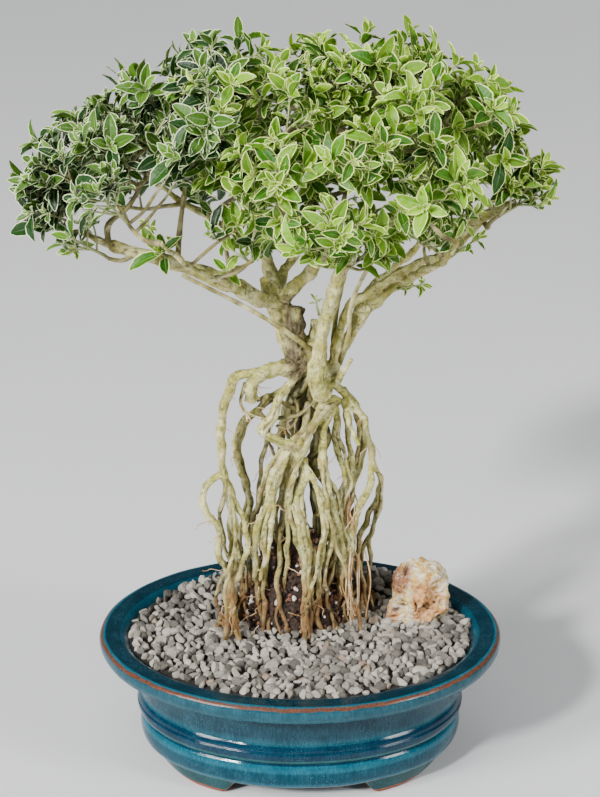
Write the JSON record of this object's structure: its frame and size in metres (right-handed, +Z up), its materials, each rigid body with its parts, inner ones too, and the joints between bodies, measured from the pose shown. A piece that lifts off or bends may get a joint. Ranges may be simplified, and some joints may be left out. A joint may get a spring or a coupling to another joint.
{
  "type": "serissa bonsai",
  "caption": "Serissa bonsai with exposed twisting roots and a wide domed crown of variegated leaves, planted in gravel with a small rock in an oval glazed pot.",
  "frame": {"origin": "middle of the whole outline seen from above, at the level of the four feet", "axes": "+Z up through the tree, +Y from the pictured front to the back, +X to the right in the picture along the long side of the pot"},
  "size_m": [0.3316, 0.253, 0.4858],
  "materials": {
    "pot_glaze": "glossy",
    "screen_plastic": "matte",
    "soil_mix": "matte",
    "gravel_stone": "matte",
    "rock_stone": "matte",
    "bark": "matte",
    "leaf_dark": "satin",
    "leaf_lime": "satin"
  },
  "bodies": {
    "root": {"pot": "pot_glaze", "drain_screen_left": "screen_plastic", "drain_screen_right": "screen_plastic", "soil": "soil_mix", "gravel": "gravel_stone", "rock": "rock_stone", "tree_wood": "bark", "spray_dark_01": "leaf_dark", "spray_dark_03": "leaf_dark", "spray_dark_04": "leaf_dark", "spray_dark_11": "leaf_dark", "spray_dark_13": "leaf_dark", "spray_dark_16": "leaf_dark", "spray_dark_19": "leaf_dark", "spray_dark_23": "leaf_dark", "spray_dark_24": "leaf_dark", "spray_dark_29": "leaf_dark", "spray_dark_30": "leaf_dark", "spray_lime_02": "leaf_lime", "spray_lime_05": "leaf_lime", "spray_lime_06": "leaf_lime", "spray_lime_07": "leaf_lime", "spray_lime_08": "leaf_lime", "spray_lime_09": "leaf_lime", "spray_lime_10": "leaf_lime", "spray_lime_12": "leaf_lime", "spray_lime_14": "leaf_lime", "spray_lime_15": "leaf_lime", "spray_lime_17": "leaf_lime", "spray_lime_18": "leaf_lime", "spray_lime_20": "leaf_lime", "spray_lime_21": "leaf_lime", "spray_lime_22": "leaf_lime", "spray_lime_25": "leaf_lime", "spray_lime_26": "leaf_lime", "spray_lime_27": "leaf_lime", "spray_lime_28": "leaf_lime", "spray_lime_31": "leaf_lime"}
  },
  "joints": []
}
